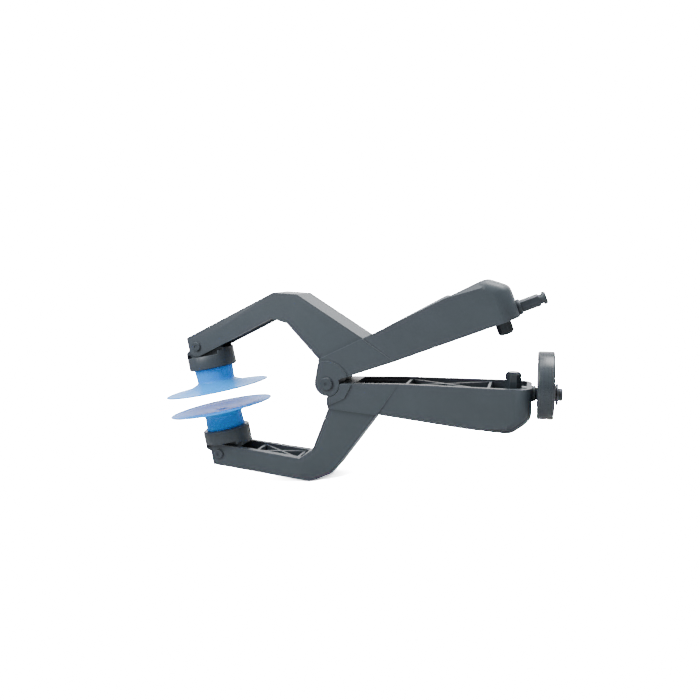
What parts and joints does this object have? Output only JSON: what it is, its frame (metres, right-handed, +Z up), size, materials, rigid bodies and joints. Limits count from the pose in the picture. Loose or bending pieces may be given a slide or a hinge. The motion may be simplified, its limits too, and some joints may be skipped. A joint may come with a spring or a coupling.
{
  "type": "suction cup screen-opening pliers",
  "caption": "Hand pliers with a suction cup on each jaw; squeezing the handles pulls the two faces of a thin device apart, and a wheel holds the opening.",
  "frame": {"origin": "bottom centre of the bounding box, with the jaws closed on a thin panel", "axes": "+X from the jaws to the handle ends along the line that halves the handles' angle, +Y along the lever pivot, +Z up, square to the panel held between the cups"},
  "size_m": [0.1883, 0.0508, 0.0913],
  "materials": {
    "lever_plastic": "satin moulded, dark slate grey",
    "holder_plastic": "satin moulded, dark slate grey",
    "post_plastic": "satin moulded, dark slate grey",
    "panel_plastic": "fine matte texture, slate grey",
    "wheel_plastic": "satin moulded, dark slate grey",
    "spindle_metal": "dark grey satin coating",
    "pin_metal": "dark grey satin coating",
    "clip_steel": "dark spring steel",
    "screw_steel": "plain steel",
    "cup_silicone": "translucent blue silicone",
    "insert_plastic": "stiff blue nylon"
  },
  "bodies": {
    "lower_frame": {"lower_lever": "lever_plastic", "lower_holder_pin": "pin_metal", "lower_holder_clip": "clip_steel", "lower_spindle": "spindle_metal", "lower_spindle_nut": "clip_steel", "lower_stop_post": "post_plastic", "lower_grip_panel": "panel_plastic", "pivot_pin": "pin_metal", "pivot_clip": "clip_steel", "wheel_clip": "clip_steel"},
    "upper_frame": {"upper_lever": "lever_plastic", "upper_holder_pin": "pin_metal", "upper_holder_clip": "clip_steel", "upper_spindle": "spindle_metal", "upper_spindle_nut": "clip_steel", "upper_stop_post": "post_plastic", "upper_grip_panel": "panel_plastic"},
    "upper_head": {"upper_cup_holder": "holder_plastic", "upper_suction_cup": "cup_silicone", "upper_cup_insert": "insert_plastic", "upper_cup_screw": "screw_steel"},
    "lower_head": {"lower_cup_holder": "holder_plastic", "lower_suction_cup": "cup_silicone", "lower_cup_insert": "insert_plastic", "lower_cup_screw": "screw_steel"},
    "wheel": {"locking_wheel": "wheel_plastic"}
  },
  "joints": [
    {"name": "lever_hinge", "type": "hinge", "parent": "lower_frame", "child": "upper_frame", "pos_m": [-0.0066, 0, 0.04563], "axis": [0, 1, 0], "range_deg": [0, 10.5]},
    {"name": "upper_head_swivel", "type": "hinge", "parent": "upper_frame", "child": "upper_head", "pos_m": [-0.07115, 0, 0.07292], "axis": [0, 1, 0], "range_deg": [-5.5, 9]},
    {"name": "lower_head_swivel", "type": "hinge", "parent": "lower_frame", "child": "lower_head", "pos_m": [-0.07115, 0, 0.01833], "axis": [0, 1, 0], "range_deg": [-9, 5.5]},
    {"name": "wheel_spin", "type": "hinge", "parent": "lower_frame", "child": "wheel", "pos_m": [0.08734, 0, 0.02567], "axis": [0.9833, 0, -0.1822], "continuous": true}
  ]
}
